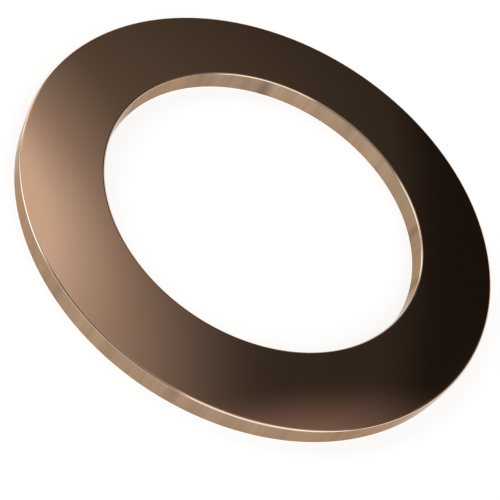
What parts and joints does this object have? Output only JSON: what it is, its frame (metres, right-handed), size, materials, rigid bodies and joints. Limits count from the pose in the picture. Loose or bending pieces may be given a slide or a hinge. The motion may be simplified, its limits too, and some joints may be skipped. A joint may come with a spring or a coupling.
{
  "type": "copper washer",
  "caption": "Flat copper sealing washer: a plain ring of rectangular section with rounded edges and a wide central bore.",
  "frame": {"origin": "middle of the underside, on the bore's axis", "axes": "+Z along the bore's axis, up through the upper face"},
  "size_m": [0.046, 0.046, 0.002],
  "materials": {
    "copper": "satin"
  },
  "bodies": {
    "root": {"washer": "copper"}
  },
  "joints": []
}
